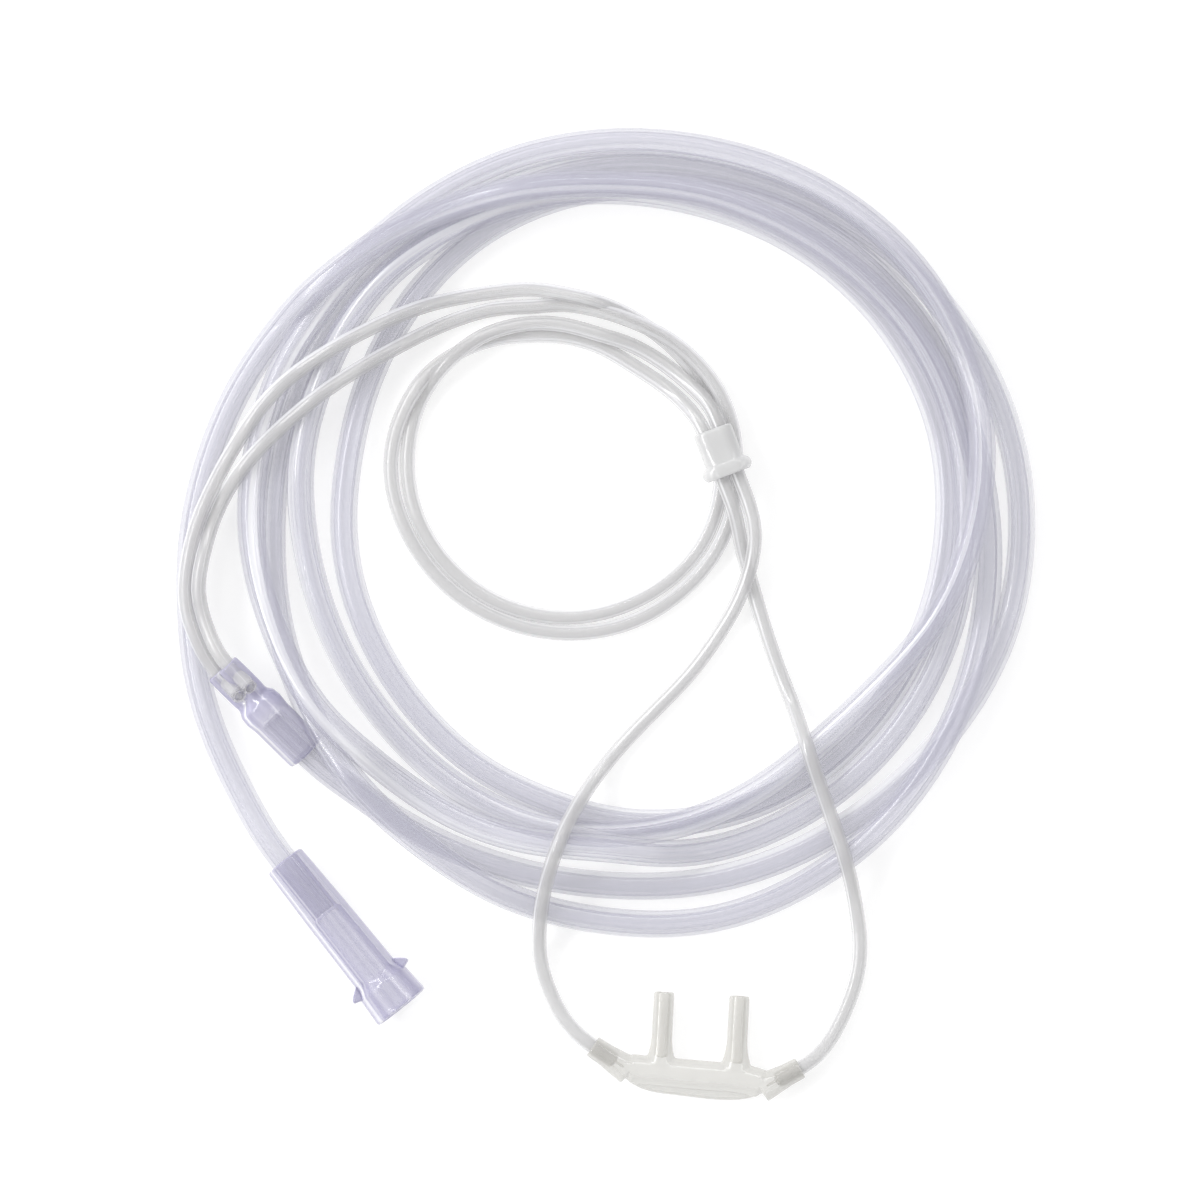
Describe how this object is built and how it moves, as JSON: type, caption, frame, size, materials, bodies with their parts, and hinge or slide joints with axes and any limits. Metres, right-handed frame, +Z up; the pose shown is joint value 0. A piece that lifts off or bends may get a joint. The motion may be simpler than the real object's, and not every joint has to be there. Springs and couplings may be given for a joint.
{
  "type": "nasal oxygen cannula",
  "caption": "Nasal oxygen cannula with straight prongs, an over-ear tube loop with a sliding sleeve, a Y connector and a coiled supply tube with a push-on end connector.",
  "frame": {"origin": "middle of the bounding box of the moulded pieces, on the floor that the cannula lies on", "axes": "+Z up from the floor, +Y from the nasal piece towards the top of the coils, +X to the right in the picture"},
  "size_m": [0.1603, 0.1805, 0.0129],
  "materials": {
    "supply_vinyl": "clear, faintly lavender, glossy",
    "lariat_vinyl": "clear, faintly milky, glossy",
    "violet_vinyl": "clear, violet-tinted, glossy",
    "milky_plastic": "milky translucent, satin",
    "soft_vinyl": "soft, clear with a faint yellow-green tint, satin"
  },
  "bodies": {
    "cannula": {"nasal_piece": "soft_vinyl", "y_connector": "violet_vinyl", "supply_connector": "violet_vinyl", "supply_tube_start": "supply_vinyl", "supply_tube_coil": "supply_vinyl", "supply_tube_tail": "supply_vinyl", "lariat_left_lead": "lariat_vinyl", "lariat_right_lead": "lariat_vinyl", "lariat_coil": "lariat_vinyl", "lariat_left_loop": "lariat_vinyl", "lariat_right_loop": "lariat_vinyl"},
    "slide": {"tension_slide": "milky_plastic"}
  },
  "joints": [
    {"name": "slide_travel", "type": "slide", "parent": "cannula", "child": "slide", "axis": [0.3523, -0.9359, 0], "range_m": [0, 0.006]}
  ]
}
